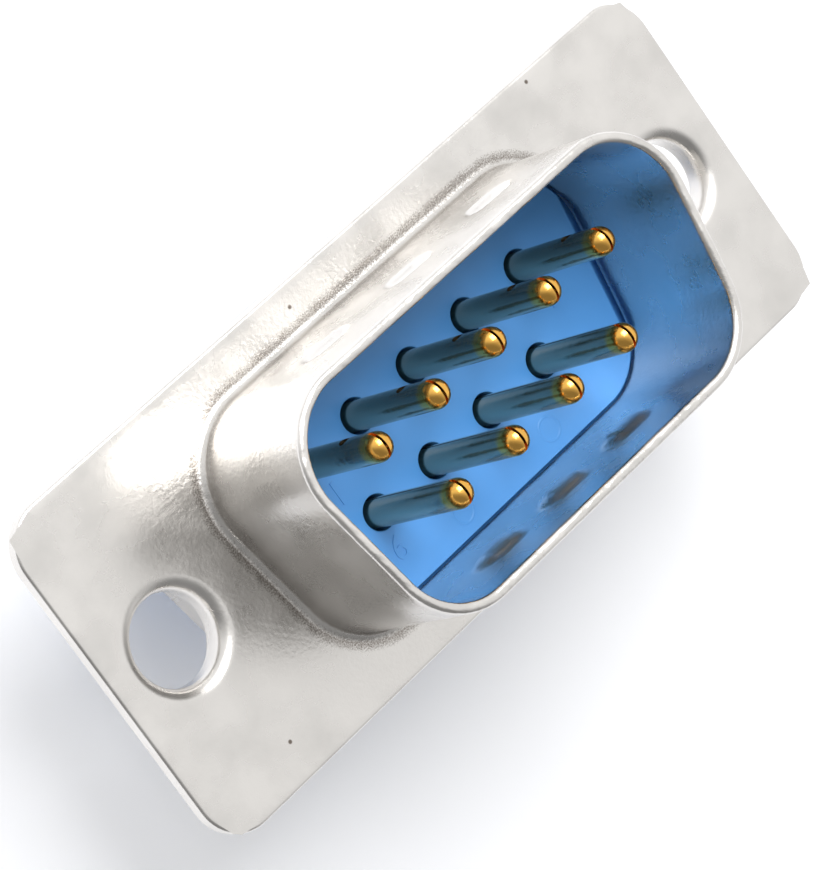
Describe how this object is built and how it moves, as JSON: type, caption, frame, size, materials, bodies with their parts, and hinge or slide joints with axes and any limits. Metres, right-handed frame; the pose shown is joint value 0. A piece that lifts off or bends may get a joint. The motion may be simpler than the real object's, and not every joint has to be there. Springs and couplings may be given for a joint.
{
  "type": "d-sub connector",
  "caption": "Panel-mount D-shaped plug connector: flanged metal shell with a dimpled hood, blue insulator, two rows of pins and solder cups behind.",
  "frame": {"origin": "centre of the front face of the flange, half-way between the two mounting holes", "axes": "+Z is the mating direction, out of the hood's mouth; +X runs along the flange from hole to hole; +Y points towards the wide side of the D, with the row of five pins"},
  "size_m": [0.0308, 0.0126, 0.0154],
  "materials": {
    "shell_metal": "tinned or nickel-plated drawn steel, bright with a fine grain",
    "insulator_plastic": "moulded thermoplastic, satin bright blue",
    "contact_metal": "rolled copper alloy with thin gold plating"
  },
  "bodies": {
    "root": {"front_shell": "shell_metal", "rear_shell": "shell_metal", "front_insulator": "insulator_plastic", "rear_insulator": "insulator_plastic", "contact_1": "contact_metal", "contact_2": "contact_metal", "contact_3": "contact_metal", "contact_4": "contact_metal", "contact_5": "contact_metal", "contact_6": "contact_metal", "contact_7": "contact_metal", "contact_8": "contact_metal", "contact_9": "contact_metal"}
  },
  "joints": []
}
